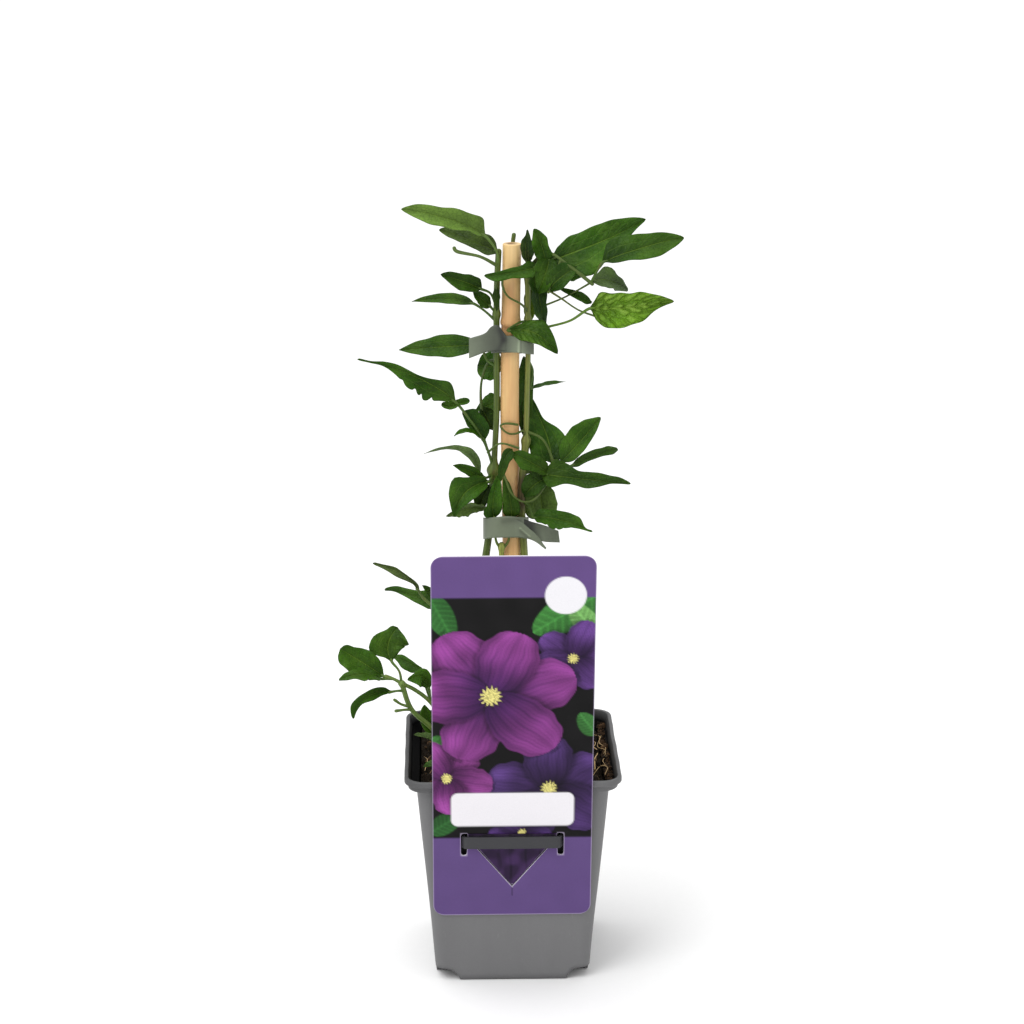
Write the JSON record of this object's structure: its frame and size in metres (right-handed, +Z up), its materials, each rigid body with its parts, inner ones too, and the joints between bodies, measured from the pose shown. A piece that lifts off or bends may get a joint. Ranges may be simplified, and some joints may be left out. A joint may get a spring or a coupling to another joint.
{
  "type": "potted clematis climbing plant",
  "caption": "Young climbing plant in a square nursery pot, its leafy stems held to a bamboo cane by tape ties, with a picture label hooked on the pot's front.",
  "frame": {"origin": "middle of the pot's flat base, on the surface it stands on", "axes": "+Z up along the cane, -Y towards the label and the viewer, +X to the viewer's right"},
  "size_m": [0.1411, 0.1084, 0.3276],
  "materials": {
    "pot_plastic": "satin grey moulded plastic",
    "peat": "dark crumbly peat with pale fibres",
    "bamboo": "pale tan bamboo with faint pinkish mottles",
    "label_plastic": "printed smooth plastic sheet, purple with a picture panel",
    "tie_tape": "grey-green satin tape",
    "leaf_green": "green living leaf and stem, soft sheen"
  },
  "bodies": {
    "root": {"pot": "pot_plastic", "soil": "peat", "cane": "bamboo", "label": "label_plastic", "tie_upper": "tie_tape", "tie_lower": "tie_tape", "stem_left": "leaf_green", "stem_middle": "leaf_green", "stem_right": "leaf_green", "shoot_low": "leaf_green"}
  },
  "joints": []
}
